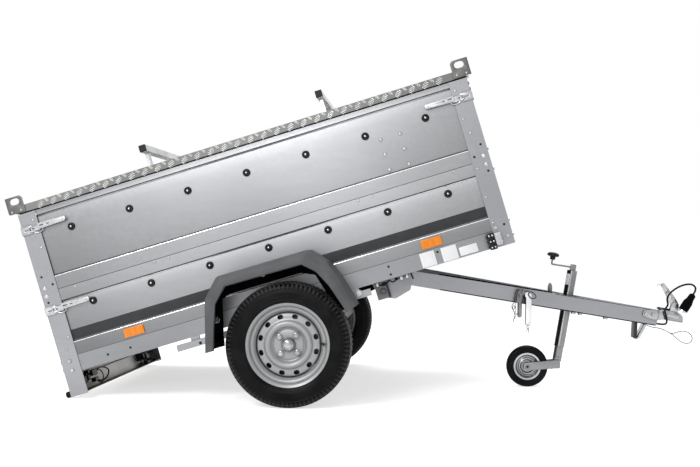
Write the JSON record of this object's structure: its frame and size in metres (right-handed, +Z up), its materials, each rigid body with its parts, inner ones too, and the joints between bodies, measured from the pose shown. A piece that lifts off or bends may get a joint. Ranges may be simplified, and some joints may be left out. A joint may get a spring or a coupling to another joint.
{
  "type": "tipping utility trailer",
  "caption": "Galvanised tipping box trailer with raised boards, hinged tread-plate cover, V drawbar, ball coupling and jockey wheel, tipped back on its tail.",
  "frame": {"origin": "on the floor, midway between the cover's rear corner and the coupling's nose, on the centreline", "axes": "+X forwards to the coupling, +Y to the trailer's left, +Z up"},
  "size_m": [3.1484, 1.544, 1.4962],
  "materials": {
    "galvanised": "hot-dip galvanised, faint spangle",
    "tread_plate": "five-bar tread plate",
    "floor_board": "film-faced plywood",
    "guard_plastic": "grained moulding",
    "black_plastic": "matt",
    "rubber": "matt",
    "tyre": "road tread",
    "wheel_silver": "satin silver",
    "zinc": "bright zinc plated",
    "red_lens": "ribbed lens",
    "clear_lens": "clear lens",
    "amber_lens": "reflector"
  },
  "bodies": {
    "chassis": {"side_rails": "galvanised", "cross_members": "galvanised", "floor": "floor_board", "rear_posts": "galvanised", "front_posts": "galvanised", "raised_posts": "galvanised", "lower_side_board_right": "galvanised", "lower_side_board_left": "galvanised", "raised_side_board_right": "galvanised", "raised_side_board_left": "galvanised", "lower_front_board": "galvanised", "hinge_leaves": "zinc", "cover_seals": "rubber", "latches": "zinc", "light_board": "galvanised", "rear_lamps": "red_lens", "tail_buffers": "rubber", "front_lamp_bases": "black_plastic", "front_lamp_lenses": "clear_lens", "side_reflectors": "amber_lens", "mudguard_right": "guard_plastic", "mudguard_left": "guard_plastic", "mudguard_bars": "galvanised", "axle_beam": "galvanised", "swing_arms": "galvanised", "tip_brackets": "galvanised"},
    "cover": {"cover": "tread_plate", "cover_lugs": "galvanised", "cover_bars": "zinc"},
    "tailgate": {"tailgate": "galvanised"},
    "raised_rear_board": {"raised_rear_board": "galvanised"},
    "raised_front_board": {"raised_front_board": "galvanised"},
    "wheel_right": {"rim_right": "wheel_silver", "tyre_right": "tyre", "hub_right": "zinc"},
    "wheel_left": {"rim_left": "wheel_silver", "tyre_left": "tyre", "hub_left": "zinc"},
    "drawbar": {"drawbar_arm_right": "galvanised", "drawbar_arm_left": "galvanised", "drawbar_gussets": "galvanised", "drawbar_rear_tube": "galvanised", "coupling_head": "zinc", "tip_lock": "galvanised", "lock_strap": "zinc", "nose_bracket": "zinc", "jockey_tube": "zinc", "jockey_clamp": "galvanised", "jockey_crank": "zinc", "cable_gland": "black_plastic", "lead": "rubber", "plug": "black_plastic", "wire_tail": "zinc", "wire_crimp": "zinc", "wire_loop": "zinc"},
    "coupling_handle": {"coupling_handle": "zinc"},
    "jockey_leg": {"jockey_leg": "zinc"},
    "jockey_fork": {"jockey_fork": "zinc"},
    "jockey_wheel": {"jockey_tyre": "rubber", "jockey_rim": "wheel_silver"}
  },
  "joints": [
    {"name": "wheel_right_spin", "type": "hinge", "parent": "chassis", "child": "wheel_right", "pos_m": [-0.26203, -0.685, 0.2665], "axis": [0, 1, 0], "continuous": true},
    {"name": "wheel_left_spin", "type": "hinge", "parent": "chassis", "child": "wheel_left", "pos_m": [-0.26203, 0.685, 0.2665], "axis": [0, 1, 0], "continuous": true},
    {"name": "drawbar_hinge", "type": "hinge", "parent": "chassis", "child": "drawbar", "pos_m": [0.12172, 0, 0.47546], "axis": [0, -1, 0], "range_deg": [0, 26.35]},
    {"name": "jockey_winding", "type": "slide", "parent": "drawbar", "child": "jockey_leg", "axis": [0.1633, 0, 0.9866], "range_m": [-0.1, 0.045]},
    {"name": "jockey_swivel", "type": "hinge", "parent": "jockey_leg", "child": "jockey_fork", "pos_m": [0.94935, 0, 0.13572], "axis": [0.1633, 0, 0.9866], "continuous": true},
    {"name": "jockey_wheel_spin", "type": "hinge", "parent": "jockey_fork", "child": "jockey_wheel", "pos_m": [0.80457, 0, 0.1], "axis": [0, 1, 0], "continuous": true},
    {"name": "coupling_handle_hinge", "type": "hinge", "parent": "drawbar", "child": "coupling_handle", "pos_m": [1.509, 0, 0.40594], "axis": [0, -1, 0], "range_deg": [0, 38]},
    {"name": "cover_hinge", "type": "hinge", "parent": "chassis", "child": "cover", "pos_m": [0.48677, 0, 1.41468], "axis": [0, 1, 0], "range_deg": [0, 75]},
    {"name": "tailgate_hinge", "type": "hinge", "parent": "chassis", "child": "tailgate", "pos_m": [-1.3026, 0, 0.17517], "axis": [0, -1, 0], "range_deg": [0, 100]},
    {"name": "raised_rear_board_hinge", "type": "hinge", "parent": "chassis", "child": "raised_rear_board", "pos_m": [-1.37847, 0, 0.4824], "axis": [0, -1, 0], "range_deg": [0, 90]},
    {"name": "raised_front_board_hinge", "type": "hinge", "parent": "chassis", "child": "raised_front_board", "pos_m": [0.56813, 0, 1.07567], "axis": [0, 1, 0], "range_deg": [0, 90]}
  ]
}
